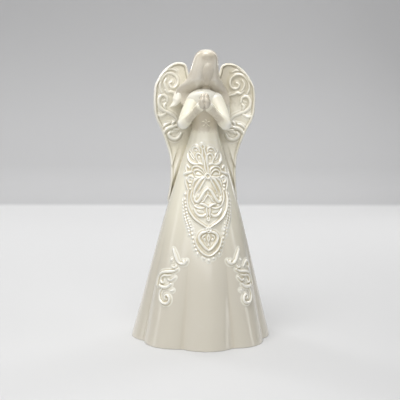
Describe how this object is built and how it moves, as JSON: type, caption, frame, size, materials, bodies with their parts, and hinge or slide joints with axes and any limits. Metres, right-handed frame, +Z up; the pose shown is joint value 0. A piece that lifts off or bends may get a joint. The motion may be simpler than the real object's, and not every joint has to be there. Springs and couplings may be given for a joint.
{
  "type": "porcelain angel figurine",
  "caption": "Standing praying angel in ivory glazed porcelain: hollow fluted gown, bowed head under long hair, cupped scrollwork wings, raised scroll relief.",
  "frame": {"origin": "middle of the foot, on the surface the figurine stands on", "axes": "+Z up the figure, -Y out of its front, +X to the figure's own left"},
  "size_m": [0.123, 0.111, 0.2497],
  "materials": {
    "ivory_glaze": "high-gloss ivory glaze over a pale porcelain body",
    "relief_glaze": "the same ivory glaze, thinner over raised relief"
  },
  "bodies": {
    "root": {"gown_shell": "ivory_glaze", "bust": "ivory_glaze", "head": "ivory_glaze", "hair_mantle": "ivory_glaze", "hair_lock_right": "ivory_glaze", "hair_lock_left": "ivory_glaze", "sleeve_right": "ivory_glaze", "sleeve_left": "ivory_glaze", "forearm_right": "ivory_glaze", "forearm_left": "ivory_glaze", "hand_right": "ivory_glaze", "hand_left": "ivory_glaze", "wing_right": "ivory_glaze", "wing_left": "ivory_glaze", "wing_scroll_upper_right": "relief_glaze", "wing_scroll_upper_left": "relief_glaze", "wing_scroll_lower_right": "relief_glaze", "wing_scroll_lower_left": "relief_glaze", "medallion_bow": "relief_glaze", "medallion_frame": "relief_glaze", "medallion_pendant": "relief_glaze", "hem_spray_right": "relief_glaze", "hem_spray_left": "relief_glaze"}
  },
  "joints": []
}
